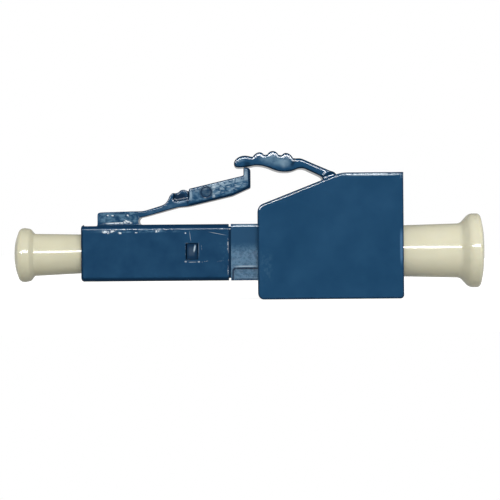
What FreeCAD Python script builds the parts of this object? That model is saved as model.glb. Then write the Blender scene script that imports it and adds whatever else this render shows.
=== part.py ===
import FreeCAD, Part
import math
import os

# Fixed fibre-optic attenuator with a latched square plug at one end and a matching port at the other.
# Millimetres. X runs along the light path from the plug's front face (X = 0) to the port,
# Z is up, towards the latch, and Y = 0 is the middle plane.

# Running and seating clearances, each on one side of a joint between two pieces
slip_gap = 0.05
bonded_gap = 0.002
sleeve_gap = 0.01
cap_gap = 0.02
knuckle_gap = 0.04
contact_gap = 0.07

# Most of a short side that its rounded corners may take up
arc_share = 0.98

# Plug housing, the square front shell that enters an adapter
plug_side = 4.52
plug_length = 11.78
plug_wall = 0.5
plug_edge_round = 0.42
plug_face_round = 0.25
plug_tip_step = 0.09
plug_mouth_bore = 3.24
plug_mouth_depth = 2.6
plug_web = 0.8
ferrule_hole = 1.7
chamber_bore = 3.1
window_front = 8.35
window_length = 1.0
window_height = 1.3
window_mid_z = 0.09

# Block on top of the plug housing that carries the latch
latch_block_front = 1.29
latch_block_height = 1.095
latch_block_fall = 0.085
latch_block_width = 3.0
latch_block_round = 0.24
latch_relief = 0.29

# Latch: thin strip, catch lug, notch that clears the adapter's lip, lever and upturned hook
latch_pivot_x = 4.85
strip_thickness = 0.5
strip_end_x = 6.6
strip_rise = 0.48
ramp_round = 0.6
latch_width = 3.4
lug_x = 7.28
lug_top = 4.8
lug_round = 0.14
lug_crest_length = 0.36
strip_bottom_x = 7.78
strip_bottom_z = 3.63
notch_length = 1.3
rib_width = 2.2
ledge_top = 4.1
lever_x = 8.62
lever_depth = 1.4
lever_top_front = 5.1
lever_top_slope = 0.2343
lever_tail = 1.45
lever_tail_lift = 0.3
lever_corner_round = 0.1
lever_tail_round = 1.0
hook_x = 13.0
hook_thickness = 0.56
hook_height = 0.61
hook_width = 2.6
hook_tip_round = 0.3
hook_face_round = 0.06
mould_mark_x = 10.01
mould_mark_radius = 0.47
mould_mark_lift = 0.1
mould_mark_depth = 0.05

# Inner body: front spigot inside the plug housing, visible neck, rear spigot inside the rear housing
insert_length = 4.1
neck_length = 2.32
neck_edge_round = 0.22
neck_groove_length = 0.18
neck_groove_depth = 0.2
neck_panel_front = 0.3
neck_panel_height = 0.98
neck_panel_depth = 0.14
rear_spigot_length = 1.0
rear_spigot_side = 4.0
spring_seat_depth = 2.2
snap_tab_height = 0.45

# Rear housing with the port
rear_length = 11.6
rear_width = 6.0
rear_top = 6.27
rear_bottom = 3.78
slope_start_z = 3.67
slope_length = 6.63
rear_edge_round = 0.18
rear_high_corner_round = 0.68
slope_end_round = 2.5
rear_low_corner_round = 0.48
rear_heel_round = 0.3
port_web = 0.8
port_side = 4.6
lug_slot_width = 3.6
lug_slot_top = 4.0
lug_pocket_length = 1.3
lug_pocket_top = 4.9
lip_thickness = 1.1
rib_slot_width = 2.5
rib_slot_top = 5.2
port_lead_in = 0.2
plug_end_room = 0.4

# Trigger, the arched thumb lever whose tip bears on the latch's hook
trigger_pivot_from_front = 5.3
trigger_pivot_lift = 0.58
trigger_width = 3.6
arm_thickness = 0.6
grip_length = 4.99
arm_joint_inset = 0.15
arm_joint_lift = 0.25
arm_joint_round = 0.35
grip_rise = 1.11
grip_crown_share = 0.42
grip_crown_round = 4.0
heel_bump = 0.15
heel_round = 0.15
nose_length = 0.72
nose_height = 0.93
nose_round = 0.4
nose_heel_round = 0.2
nose_crest_x = 0.14
nose_brow_x = 0.58
nose_brow_drop = 0.18
grip_step_round = 0.1
grip_hollow_x = 1.39
grip_hollow_rise = 0.22
grip_hollow_round = 0.6
belly_x = 3.38
belly_drop = 0.44
belly_round = 1.8
ridge_count = 3
ridge_pitch = 1.08
ridge_radius = 0.45
ridge_sink = 0.28
ridge_crown_radius = 4.8
ridge_shift = 0.3
trigger_root_height = 0.4
stub_tip_round = 0.1

# Light path
ferrule_diameter = 1.249
ferrule_stickout = 1.9
ferrule_chamfer = 0.18
fibre_diameter = 0.125
collar_diameter = 2.6
collar_length = 1.9
collar_cone = 0.35
spring_wire = 0.3
spring_turns = 6
sleeve_wall = 0.185
sleeve_length = 6.8
sleeve_slit = 0.3
holder_wall = 0.54
holder_flange = 1.1
holder_lip = 0.35
holder_lip_bore = 1.46

# Dust caps
front_barrel_root = 3.38
front_barrel_tip = 3.1
front_cap_inside = 2.1
front_nose_diameter = 2.9
front_flange_diameter = 4.37
front_flange_x = 4.21
front_flange_length = 0.87
front_dome = 0.42
front_rim_round = 0.42
front_rim_flat_round = 0.2
front_neck_round = 0.35
rim_draft = 0.04
cap_end_room = 0.4
cap_nose_round = 0.1
rear_barrel_diameter = 4.14
rear_barrel_flare = 4.36
rear_barrel_visible = 4.62
rear_cone_length = 0.65
rear_flare_round = 0.5
rear_flange_diameter = 5.98
rear_flange_length = 1.2
rear_flange_round = 0.2
rear_flange_front_round = 0.55
rear_plug_bore_depth = 7.4

# Places that follow from the sizes above
plug_half = plug_side / 2
socket_side = plug_side - 2 * plug_wall
insert_side = socket_side - 2 * slip_gap
insert_front_x = plug_length - insert_length
rear_front_x = plug_length + neck_length
port_face_x = rear_front_x + rear_length
spigot_end_x = rear_front_x + rear_spigot_length
pocket_floor_x = spigot_end_x + holder_flange
port_floor_x = pocket_floor_x + port_web
optical_plane_x = port_floor_x + plug_end_room - ferrule_stickout
ferrule_radius = ferrule_diameter / 2
web_rear_x = plug_mouth_depth + plug_web
collar_front_x = web_rear_x + slip_gap
collar_rear_x = collar_front_x + collar_length
spring_seat_x = insert_front_x + spring_seat_depth
sleeve_front_x = optical_plane_x - sleeve_length / 2
sleeve_rear_x = optical_plane_x + sleeve_length / 2
sleeve_outer = ferrule_radius + sleeve_gap + sleeve_wall
holder_front_x = sleeve_front_x - slip_gap
holder_rear_x = sleeve_rear_x + slip_gap + holder_lip
holder_bore = sleeve_outer + slip_gap
holder_outer = holder_bore + holder_wall
holder_seat = holder_outer + slip_gap
latch_pivot_z = plug_half + latch_block_height - strip_thickness / 2
lever_rear_x = hook_x + hook_thickness
lever_top_rear = lever_top_front + lever_top_slope * (hook_x - lever_x)
hook_top_z = lever_top_rear + hook_height
grip_under_z = hook_top_z + contact_gap
slope_rate = (rear_top - slope_start_z) / slope_length
trigger_pivot_x = rear_front_x + trigger_pivot_from_front
trigger_pivot_z = slope_start_z + slope_rate * trigger_pivot_from_front + trigger_pivot_lift


def point(x, z, y=0.0):
    return FreeCAD.Vector(x, y, z)


def bar(x0, x1, width, z0, z1):
    return Part.makeBox(x1 - x0, width, z1 - z0, point(x0, z0, -width / 2))


def square_bar(x0, x1, side):
    return bar(x0, x1, side, -side / 2, side / 2)


def rod(x0, x1, radius):
    return Part.makeCylinder(radius, x1 - x0, point(x0, 0), FreeCAD.Vector(1, 0, 0))


def cross_rod(x, z, radius, width):
    return Part.makeCylinder(radius, width, point(x, z, -width / 2), FreeCAD.Vector(0, 1, 0))


def turned(corners):
    # Solid of revolution about the X axis. Each corner is x, radius and how far it is rounded.
    face = Part.Face(rounded_wire(corners))
    return face.revolve(point(0, 0), FreeCAD.Vector(1, 0, 0), 360)


def plate(corners, width):
    # Flat piece of the given width, symmetrical about the middle plane.
    # Each corner is x, z and how far it is rounded.
    face = Part.Face(rounded_wire(corners))
    face.translate(FreeCAD.Vector(0, -width / 2, 0))
    return face.extrude(FreeCAD.Vector(0, width, 0))


def rounded_wire(corners):
    # Closed outline in the XZ plane with an arc at each corner that is rounded.
    count = len(corners)
    tips = [point(x, z) for x, z, radius in corners]
    half_angles = []
    wanted = []
    for i in range(count):
        back = tips[i - 1] - tips[i]
        ahead = tips[(i + 1) % count] - tips[i]
        half_angles.append(back.getAngle(ahead) / 2)
        wanted.append(corners[i][2] / math.tan(half_angles[i]))
    starts = []
    ends = []
    arcs = []
    for i in range(count):
        back = tips[i - 1] - tips[i]
        ahead = tips[(i + 1) % count] - tips[i]
        if wanted[i] <= 0:
            starts.append(tips[i])
            ends.append(tips[i])
            arcs.append(None)
            continue
        # Two arcs that meet on a short side share its length.
        share_back = back.Length * wanted[i] / (wanted[i] + wanted[i - 1])
        share_ahead = ahead.Length * wanted[i] / (wanted[i] + wanted[(i + 1) % count])
        reach = min(wanted[i], arc_share * share_back, arc_share * share_ahead)
        radius = reach * math.tan(half_angles[i])
        back.normalize()
        ahead.normalize()
        middle_way = (back + ahead).normalize()
        middle = tips[i] + middle_way * (radius / math.sin(half_angles[i]) - radius)
        starts.append(tips[i] + back * reach)
        ends.append(tips[i] + ahead * reach)
        arcs.append(Part.Arc(starts[-1], middle, ends[-1]).toShape())
    edges = []
    for i, arc in enumerate(arcs):
        if arc:
            edges.append(arc)
        edges.append(Part.LineSegment(ends[i], starts[(i + 1) % count]).toShape())
    return Part.Wire(edges)


def edges_along(shape, direction):
    # Straight edges parallel to one axis.
    found = []
    for edge in shape.Edges:
        if edge.Curve.TypeId != "Part::GeomLine":
            continue
        run = edge.Vertexes[-1].Point - edge.Vertexes[0].Point
        if abs(abs(run.normalize().dot(direction)) - 1) < 1e-6:
            found.append(edge)
    return found


def edges_in_plane(shape, x):
    # Edges that lie in the plane at X = x.
    found = []
    for edge in shape.Edges:
        box = edge.BoundBox
        if abs(box.XMin - x) < 1e-6 and abs(box.XMax - x) < 1e-6:
            found.append(edge)
    return found


def rounded_square_bar(x0, x1, side, edge_round):
    body = square_bar(x0, x1, side)
    return body.makeFillet(edge_round, edges_along(body, FreeCAD.Vector(1, 0, 0)))


def plug_housing():
    shell = rounded_square_bar(0, plug_length, plug_side, plug_edge_round)
    shell = shell.makeFillet(plug_face_round, edges_in_plane(shell, 0))
    block_top = plug_half + latch_block_height
    carrier = plate([
        (latch_block_front, plug_half - plug_wall / 2, 0),
        (latch_block_front, block_top - latch_block_fall, latch_block_round),
        (latch_pivot_x, block_top, 0),
        (latch_pivot_x, plug_half - plug_wall / 2, 0),
    ], latch_block_width)
    # Round relief under the strip's root
    carrier = carrier.cut(cross_rod(latch_pivot_x, plug_half + latch_relief, latch_relief, latch_block_width))
    body = shell.fuse(carrier)
    body = body.cut(cross_rod(latch_pivot_x, latch_pivot_z, strip_thickness / 2 + knuckle_gap, plug_side))
    body = body.cut(bar(-1, latch_block_front, plug_side + 1, plug_half - plug_tip_step, plug_side))
    body = body.cut(rod(-1, plug_mouth_depth, plug_mouth_bore / 2))
    body = body.cut(rod(0, plug_length, ferrule_hole / 2))
    body = body.cut(rod(web_rear_x, insert_front_x, chamber_bore / 2))
    body = body.cut(square_bar(insert_front_x - slip_gap, plug_length + 1, socket_side))
    window = bar(window_front, window_front + window_length, plug_side + 1,
                 window_mid_z - window_height / 2, window_mid_z + window_height / 2)
    return body.cut(window).removeSplitter()


def latch_arm():
    half = strip_thickness / 2
    strip_end_z = latch_pivot_z + strip_rise
    slant = math.atan2(strip_rise, strip_end_x - latch_pivot_x)
    side = (half * math.sin(slant), half * math.cos(slant))
    lever_bottom_front = lever_top_front - lever_depth
    # Strip, ramp and lug share one outline; the strip is the narrow front part of it.
    ramp = [
        (strip_end_x - side[0], strip_end_z + side[1], ramp_round),
        (lug_x - lug_round, lug_top - lug_round, lug_round),
        (lug_x + lug_crest_length, lug_top, 0),
        (lever_x, lever_top_front, 0),
        (lever_x, lever_bottom_front, 0),
        (strip_bottom_x, strip_bottom_z, ramp_round),
    ]
    strip = plate([
        (latch_pivot_x + side[0], latch_pivot_z - side[1], 0),
        (latch_pivot_x - side[0], latch_pivot_z + side[1], 0),
    ] + ramp, latch_block_width)
    strip = strip.fuse(cross_rod(latch_pivot_x, latch_pivot_z, half, latch_block_width))
    wide = plate([(strip_end_x, strip_end_z - side[1], 0)] + ramp, latch_width)
    wide = wide.common(bar(strip_end_x + half, lever_x, latch_width, 0, hook_top_z))
    for side_y in (-1, 1):
        notch = bar(lug_x, lug_x + notch_length, latch_width, ledge_top, hook_top_z)
        notch.translate(FreeCAD.Vector(0, side_y * (rib_width + latch_width) / 2, 0))
        wide = wide.cut(notch)
        strip = strip.cut(notch)
    tail_x = lever_rear_x - lever_tail
    tail_z = lever_bottom_front + lever_top_slope * (tail_x - lever_x)
    heel_z = tail_z + lever_top_slope * lever_tail + lever_tail_lift
    lever = plate([
        (lever_x, lever_top_front, lever_corner_round),
        (hook_x, lever_top_rear, 0),
        (lever_rear_x, lever_top_rear, 0),
        (lever_rear_x, heel_z, lever_corner_round),
        (tail_x, tail_z, lever_tail_round),
        (lever_x, lever_bottom_front, lever_corner_round),
    ], latch_width)
    hook = plate([
        (hook_x, lever_top_rear - hook_thickness, 0),
        (hook_x, hook_top_z, hook_face_round),
        (lever_rear_x, hook_top_z, hook_tip_round),
        (lever_rear_x, lever_top_rear - hook_thickness, 0),
    ], hook_width)
    arm = strip.fuse([wide, lever, hook]).removeSplitter()
    mark_z = lever_top_front + lever_top_slope * (mould_mark_x - lever_x) - lever_depth / 2 + mould_mark_lift
    mark = cross_rod(mould_mark_x, mark_z, mould_mark_radius, mould_mark_depth)
    mark.translate(FreeCAD.Vector(0, -latch_width / 2 + mould_mark_depth / 2, 0))
    return arm.cut(mark)


def inner_body():
    front = square_bar(insert_front_x, plug_length, insert_side)
    groove_end_x = plug_length + neck_groove_length
    groove = rounded_square_bar(plug_length, groove_end_x, plug_side - 2 * neck_groove_depth, neck_edge_round)
    neck = rounded_square_bar(groove_end_x, rear_front_x, plug_side, neck_edge_round)
    rear = square_bar(rear_front_x, spigot_end_x, rear_spigot_side)
    body = front.fuse([groove, neck, rear]).removeSplitter()
    for side_y in (-1, 1):
        panel = Part.makeBox(neck_length, neck_panel_depth, neck_panel_height)
        panel_y = plug_half - neck_panel_depth if side_y > 0 else -plug_half
        panel.translate(point(plug_length + neck_panel_front, -plug_half, panel_y))
        body = body.cut(panel.common(square_bar(plug_length, rear_front_x, plug_side)))
        body = body.fuse(snap_tab(side_y))
    body = body.cut(rod(insert_front_x - 1, spring_seat_x, collar_diameter / 2 + slip_gap))
    body = body.cut(rod(insert_front_x, spigot_end_x, ferrule_hole / 2))
    return body.cut(rod(holder_front_x, spigot_end_x + 1, holder_seat))


def snap_tab(side_y):
    # Wedge that springs into the plug housing's side window: low at the front, square at the back.
    foot = insert_side / 2 - plug_wall / 2
    low = insert_side / 2 + snap_tab_height / 2
    high = insert_side / 2 + snap_tab_height
    front_x = window_front + slip_gap
    rear_x = window_front + window_length - 2 * slip_gap
    low_z = window_mid_z - window_height / 2 + slip_gap
    corners = [(front_x, foot), (rear_x, foot), (rear_x, high), (front_x + slip_gap, high), (front_x, low)]
    wire = Part.makePolygon([FreeCAD.Vector(x, side_y * y, low_z) for x, y in corners + corners[:1]])
    return Part.Face(wire).extrude(FreeCAD.Vector(0, 0, window_height - 2 * slip_gap))


def rear_housing():
    body = plate([
        (rear_front_x, -rear_bottom, rear_low_corner_round),
        (rear_front_x, slope_start_z, rear_high_corner_round),
        (rear_front_x + slope_length, rear_top, slope_end_round),
        (port_face_x, rear_top, 0),
        (port_face_x, -rear_bottom, rear_heel_round),
    ], rear_width)
    side_edges = [edge for edge in body.Edges if edge.BoundBox.YLength < 1e-6]
    body = body.makeFillet(rear_edge_round, side_edges)
    body = body.fuse(trigger_root())
    body = body.cut(square_bar(rear_front_x - 1, pocket_floor_x, rear_spigot_side + 2 * slip_gap))
    body = body.cut(rod(rear_front_x, port_floor_x + 1, holder_seat))
    body = body.cut(square_bar(port_floor_x, port_face_x + 1, port_side))
    lip_x = port_face_x - lip_thickness
    port_top = port_side / 2 - slip_gap
    body = body.cut(bar(port_floor_x, port_face_x + 1, lug_slot_width, port_top, lug_slot_top))
    body = body.cut(bar(lip_x - lug_pocket_length, lip_x, lug_slot_width, port_top, lug_pocket_top))
    body = body.cut(bar(lip_x - lug_pocket_length, port_face_x + 1, rib_slot_width, port_top, rib_slot_top))
    return body.cut(port_chamfer()).removeSplitter()


def port_chamfer():
    # Sloped lead-in around the mouth of the port.
    inner = port_side / 2
    outer = inner + port_lead_in
    wires = []
    for x, half in ((port_face_x - port_lead_in, inner), (port_face_x, outer)):
        ring = [(-half, -half), (half, -half), (half, half), (-half, half), (-half, -half)]
        wires.append(Part.makePolygon([FreeCAD.Vector(x, y, z) for y, z in ring]))
    return Part.makeLoft(wires, True, True)


def trigger_root():
    # Stub on the sloping top that the trigger flexes from, hollowed to take the trigger's knuckle.
    # Its top runs down into the slope.
    run_out = trigger_pivot_x + arm_thickness + trigger_root_height
    run_out_z = min(rear_top, slope_start_z + slope_rate * (run_out - rear_front_x)) - knuckle_gap
    stub = plate([
        (trigger_pivot_x, trigger_pivot_z - arm_thickness, 0),
        (trigger_pivot_x + knuckle_gap, trigger_pivot_z + arm_thickness / 2 + knuckle_gap, stub_tip_round),
        (run_out, run_out_z, 0),
        (run_out, run_out_z - arm_thickness, 0),
    ], trigger_width)
    return stub.cut(cross_rod(trigger_pivot_x, trigger_pivot_z, arm_thickness / 2 + knuckle_gap, rear_width))


def trigger_arm():
    # The grip is placed from the latch's hook, and the straight arm joins it to the root.
    grip_front = hook_x - knuckle_gap
    grip_rear = grip_front + grip_length
    crown_x = grip_front + grip_length * grip_crown_share
    crown_z = grip_under_z + grip_rise
    joint_x = grip_rear - arm_joint_inset
    joint_z = grip_under_z + arm_joint_lift
    droop = math.atan2(joint_z - trigger_pivot_z, trigger_pivot_x - joint_x)
    half = arm_thickness / 2
    side = (half * math.sin(droop), half * math.cos(droop))
    heel_x = grip_rear - 3 * arm_joint_inset
    heel_z = joint_z + side[1] + heel_bump
    nose_x = grip_front - nose_length
    nose_top = grip_under_z + nose_height
    step_x = hook_x + hook_thickness + contact_gap
    body = plate([
        (trigger_pivot_x + side[0], trigger_pivot_z + side[1], 0),
        (joint_x + side[0], joint_z + side[1], arm_joint_round),
        (heel_x, heel_z, heel_round),
        (heel_x - 2 * heel_bump, heel_z - heel_bump / 2, heel_round),
        (crown_x, crown_z, grip_crown_round),
        (grip_front + nose_brow_x, nose_top - nose_brow_drop, nose_round),
        (grip_front + nose_crest_x, nose_top, nose_round),
        (nose_x, nose_top - nose_height / 2, nose_round),
        (nose_x + nose_heel_round / 4, grip_under_z, nose_heel_round),
        (step_x, grip_under_z, grip_step_round),
        (step_x + contact_gap, grip_under_z + grip_hollow_rise, grip_step_round),
        (grip_front + grip_hollow_x, grip_under_z + grip_hollow_rise, grip_hollow_round),
        (grip_front + belly_x, grip_under_z - belly_drop, belly_round),
        (joint_x - side[0], joint_z - side[1], arm_joint_round),
        (trigger_pivot_x - side[0], trigger_pivot_z - side[1], 0),
    ], trigger_width)
    pieces = [cross_rod(trigger_pivot_x, trigger_pivot_z, half, trigger_width)]
    first_ridge = crown_x + ridge_shift - ridge_pitch * (ridge_count - 1) / 2
    for i in range(ridge_count):
        x = first_ridge + i * ridge_pitch
        sag = (x - crown_x) ** 2 / (2 * ridge_crown_radius)
        pieces.append(cross_rod(x, crown_z - sag - ridge_sink, ridge_radius, trigger_width))
    return body.fuse(pieces).removeSplitter()


def ferrule():
    body = rod(-ferrule_stickout, optical_plane_x, ferrule_radius)
    ends = edges_in_plane(body, -ferrule_stickout) + edges_in_plane(body, optical_plane_x)
    body = body.makeChamfer(ferrule_chamfer, ends)
    return body.cut(rod(-ferrule_stickout - 1, optical_plane_x + 1, fibre_diameter / 2 + bonded_gap))


def doped_fibre():
    return rod(-ferrule_stickout, optical_plane_x, fibre_diameter / 2)


def ferrule_collar():
    radius = collar_diameter / 2
    body = turned([
        (collar_front_x, 0, 0),
        (collar_front_x, radius - collar_cone, 0),
        (collar_front_x + collar_cone, radius, 0),
        (collar_rear_x, radius, 0),
        (collar_rear_x, 0, 0),
    ])
    return body.cut(rod(collar_front_x - 1, collar_rear_x + 1, ferrule_radius + bonded_gap))


def coil_spring():
    wire_radius = spring_wire / 2
    coil_radius = collar_diameter / 2 - wire_radius - slip_gap
    start_x = collar_rear_x + wire_radius + slip_gap
    end_x = spring_seat_x - wire_radius - slip_gap
    length = end_x - start_x
    path = Part.makeHelix(length / spring_turns, length, coil_radius)
    section = Part.Wire(Part.makeCircle(wire_radius, FreeCAD.Vector(coil_radius, 0, 0),
                                        FreeCAD.Vector(0, 1, 0)))
    coil = Part.Wire(path).makePipeShell([section], True, True)
    coil.rotate(FreeCAD.Vector(0, 0, 0), FreeCAD.Vector(0, 1, 0), 90)
    coil.translate(FreeCAD.Vector(start_x, 0, 0))
    return coil


def split_sleeve():
    tube = rod(sleeve_front_x, sleeve_rear_x, sleeve_outer)
    tube = tube.cut(rod(sleeve_front_x - 1, sleeve_rear_x + 1, ferrule_radius + sleeve_gap))
    return tube.cut(bar(sleeve_front_x - 1, sleeve_rear_x + 1, sleeve_slit, 0, holder_outer))


def sleeve_holder():
    tube = rod(holder_front_x, holder_rear_x, holder_outer)
    flange = square_bar(spigot_end_x, pocket_floor_x, rear_spigot_side)
    body = tube.fuse(flange)
    body = body.cut(rod(holder_front_x - 1, sleeve_rear_x + slip_gap, holder_bore))
    body = body.cut(rod(sleeve_rear_x, holder_rear_x + 1, holder_lip_bore / 2))
    mouth = Part.makeCone(holder_lip_bore / 2, holder_lip_bore / 2 + holder_lip, holder_lip,
                          point(holder_rear_x - holder_lip / 2, 0), FreeCAD.Vector(1, 0, 0))
    return body.cut(mouth)


def front_dust_cap():
    flange_radius = front_flange_diameter / 2
    barrel_root = front_barrel_root / 2
    barrel_tip = front_barrel_tip / 2
    back_x = -front_flange_x
    face_x = back_x - front_flange_length
    body = turned([
        (face_x - front_dome, 0, 0),
        (face_x - front_dome, flange_radius / 2, flange_radius),
        (face_x, flange_radius - rim_draft, front_rim_round),
        (back_x - front_rim_round, flange_radius, front_rim_flat_round),
        (back_x, flange_radius - 2 * rim_draft, front_rim_round),
        (back_x + front_rim_round, barrel_root, front_neck_round / 2),
        (0, barrel_tip, 0),
        (0, front_nose_diameter / 2, 0),
        (front_cap_inside, front_nose_diameter / 2 - rim_draft, cap_nose_round),
        (front_cap_inside, 0, 0),
    ])
    bore_end = -ferrule_stickout - cap_end_room
    return body.cut(rod(bore_end, front_cap_inside + 1, ferrule_radius + cap_gap))


def rear_dust_plug():
    front_x = port_floor_x + cap_end_room
    cone_x = port_face_x + rear_barrel_visible
    flange_x = cone_x + rear_cone_length
    end_x = flange_x + rear_flange_length
    barrel = rear_barrel_diameter / 2
    body = turned([
        (front_x, 0, 0),
        (front_x, barrel - slip_gap, cap_nose_round),
        (port_face_x, barrel, 0),
        (cone_x, rear_barrel_flare / 2, rear_flare_round),
        (flange_x, rear_flange_diameter / 2, rear_flange_front_round),
        (end_x, rear_flange_diameter / 2, rear_flange_round),
        (end_x, 0, 0),
    ])
    return body.cut(rod(front_x - 1, front_x + rear_plug_bore_depth, holder_outer + slip_gap))


makers = [
    plug_housing,
    latch_arm,
    inner_body,
    rear_housing,
    trigger_arm,
    ferrule,
    doped_fibre,
    ferrule_collar,
    coil_spring,
    split_sleeve,
    sleeve_holder,
    front_dust_cap,
    rear_dust_plug,
]

os.makedirs("parts", exist_ok=True)
for maker in makers:
    shape = maker()
    shape.exportStep("parts/" + maker.__name__ + ".step")
    print(maker.__name__, shape.ShapeType, len(shape.Solids), shape.isValid(), round(shape.Volume, 3))
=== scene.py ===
import math

import bmesh
import bpy
from mathutils import Matrix, Vector


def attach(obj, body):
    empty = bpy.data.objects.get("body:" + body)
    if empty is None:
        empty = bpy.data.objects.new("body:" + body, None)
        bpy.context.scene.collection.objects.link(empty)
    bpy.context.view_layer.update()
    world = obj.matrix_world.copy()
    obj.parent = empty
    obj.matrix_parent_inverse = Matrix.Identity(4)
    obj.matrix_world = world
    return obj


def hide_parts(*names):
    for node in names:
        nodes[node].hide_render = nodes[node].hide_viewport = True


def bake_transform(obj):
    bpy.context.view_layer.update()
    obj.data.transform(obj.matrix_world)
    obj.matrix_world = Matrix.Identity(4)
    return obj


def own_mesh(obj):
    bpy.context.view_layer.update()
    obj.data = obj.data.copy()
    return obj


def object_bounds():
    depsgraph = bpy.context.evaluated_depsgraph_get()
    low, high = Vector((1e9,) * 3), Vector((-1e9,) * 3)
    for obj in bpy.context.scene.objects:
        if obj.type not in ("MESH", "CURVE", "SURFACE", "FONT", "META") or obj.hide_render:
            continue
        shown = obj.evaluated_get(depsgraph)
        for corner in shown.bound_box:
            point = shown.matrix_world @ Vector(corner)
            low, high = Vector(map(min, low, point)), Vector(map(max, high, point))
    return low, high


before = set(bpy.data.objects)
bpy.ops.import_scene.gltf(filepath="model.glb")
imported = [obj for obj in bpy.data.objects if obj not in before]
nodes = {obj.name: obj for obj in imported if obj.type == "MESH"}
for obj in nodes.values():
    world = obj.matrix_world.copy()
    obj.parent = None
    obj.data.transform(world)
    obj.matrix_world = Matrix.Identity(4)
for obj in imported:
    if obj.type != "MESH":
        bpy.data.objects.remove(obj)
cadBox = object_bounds()
scene = bpy.context.scene
print("frame loaded:", len(nodes), "nodes")

# Sizes in the dictionaries of pieces and finishes are in millimetres. Meshes are built in millimetres and brought
# to metres at the end. The studio and the camera are in metres.
mm = 0.001


def hexToLinear(code):
    # sRGB hex to the linear colour that the shader sockets take
    channels = [int(code[i:i + 2], 16) / 255 for i in (1, 3, 5)]
    return (*[c / 12.92 if c <= 0.04045 else ((c + 0.055) / 1.055) ** 2.4 for c in channels], 1.0)


def setInputs(tree, node, inputs):
    # each input is a value, a socket that it is linked from, or a node whose first output it is linked from
    for name, value in inputs.items():
        if isinstance(value, bpy.types.Node):
            value = value.outputs[0]
        if isinstance(value, bpy.types.NodeSocket):
            tree.links.new(value, node.inputs[name])
        else:
            node.inputs[name].default_value = value
    return node


def addNode(tree, kind, inputs=None, **settings):
    # a new node with its settings and its inputs
    node = tree.nodes.new(kind)
    for name, value in settings.items():
        setattr(node, name, value)
    return setInputs(tree, node, inputs or {})


def newMaterial(name):
    # with its tree, its shader and the place on the piece that every pattern reads
    material = bpy.data.materials.new(name)
    material.use_nodes = True
    tree = material.node_tree
    place = addNode(tree, "ShaderNodeTexCoord").outputs["Object"]
    return material, tree, tree.nodes["Principled BSDF"], place


def levels(value, ends):
    # the inputs of a Map Range that goes from 0 to 1 between two levels of the value
    return {"Value": value, "From Min": ends[0], "From Max": ends[1]}


def patchMask(tree, place, patch):
    # soft-edged rounded box seen from the side: its strength inside its core, 0 at its rim
    local = addNode(tree, "ShaderNodeMapping", {
        "Vector": place,
        "Location": (patch["x"] * mm, 0, patch["z"] * mm),
        "Rotation": (0, math.radians(patch["turn"]), 0),
        "Scale": (patch["halfLength"] * mm, 1, patch["halfHeight"] * mm),
    }, vector_type="TEXTURE")
    away = addNode(tree, "ShaderNodeSeparateXYZ", {0: local}).outputs
    squareness = 4.0        # 2 would be an ellipse
    powers = {}
    for k, axis in enumerate(("X", "Z")):
        size = addNode(tree, "ShaderNodeMath", {0: away[axis]}, operation="ABSOLUTE")
        powers[k] = addNode(tree, "ShaderNodeMath", {0: size, 1: squareness}, operation="POWER")
    reach = addNode(tree, "ShaderNodeMath", powers, operation="ADD")
    reach = addNode(tree, "ShaderNodeMath", {0: reach, 1: 1 / squareness}, operation="POWER")
    return addNode(tree, "ShaderNodeMapRange", {
        **levels(reach, (1.0, patch["core"])), "To Min": 0.0, "To Max": patch["strength"],
    }, interpolation_type="SMOOTHSTEP")


def speckle(tree, place, size, low, high, stretch=1.0):
    # scattered flecks: 1 where a noise of that grain size (mm) passes the high level
    squeezed = addNode(tree, "ShaderNodeMapping", {"Vector": place, "Scale": (stretch, 1, 1)})
    grains = addNode(tree, "ShaderNodeTexNoise", {
        "Vector": squeezed, "Scale": 1 / (size * mm), "Detail": 3.0, "Roughness": 0.6,
    })
    return addNode(tree, "ShaderNodeMapRange", levels(grains, (low, high)), interpolation_type="SMOOTHSTEP")


def fleckedPatch(tree, place, patch):
    # a patch broken up into flecks
    flecks = speckle(tree, place, patch["grain"], patch["low"], patch["high"], patch["stretch"])
    return addNode(tree, "ShaderNodeMath", {0: patchMask(tree, place, patch), 1: flecks}, operation="MULTIPLY")


def laidOver(tree, base, layers):
    # colours laid over a base one after the other, each by its own share
    for share, colour in layers:
        base = addNode(tree, "ShaderNodeMix", {0: share, 6: base, 7: hexToLinear(colour)}, data_type="RGBA").outputs[2]
    return base


def unevenGloss(tree, noise, look):
    # a roughness that wanders a little with the clouds; a noise seldom leaves 0.3 to 0.7
    return addNode(tree, "ShaderNodeMapRange", {
        **levels(noise, (0.3, 0.7)),
        "To Min": look["roughness"] - look["roughnessSpread"],
        "To Max": look["roughness"] + look["roughnessSpread"],
    })


# What the columns of the tables below stand for. A patch has its middle, half sizes and turn in degrees, and is
# full out to its core's share of them. A haze-and-sheen patch has flecks too, drawn out along X by 1 / stretch, and
# a paler colour, for dull haze and for painted sheen and highlights.
patchNames = "x z halfLength halfHeight turn core strength"
hazeAndSheenNames = patchNames + " grain low high stretch colour"


def table(names, rows):
    return [dict(zip(names.split(), row)) for row in rows]


def wearAndHighlights(strength, grain, low, high, places):
    # rubbed spots, scratches and painted highlight lines of one kind; each place has the first five of a patch's
    # values
    return table(hazeAndSheenNames, [(*place, 0.3, strength, grain, low, high, 1.0) for place in places])


print("helpers ready")
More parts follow.
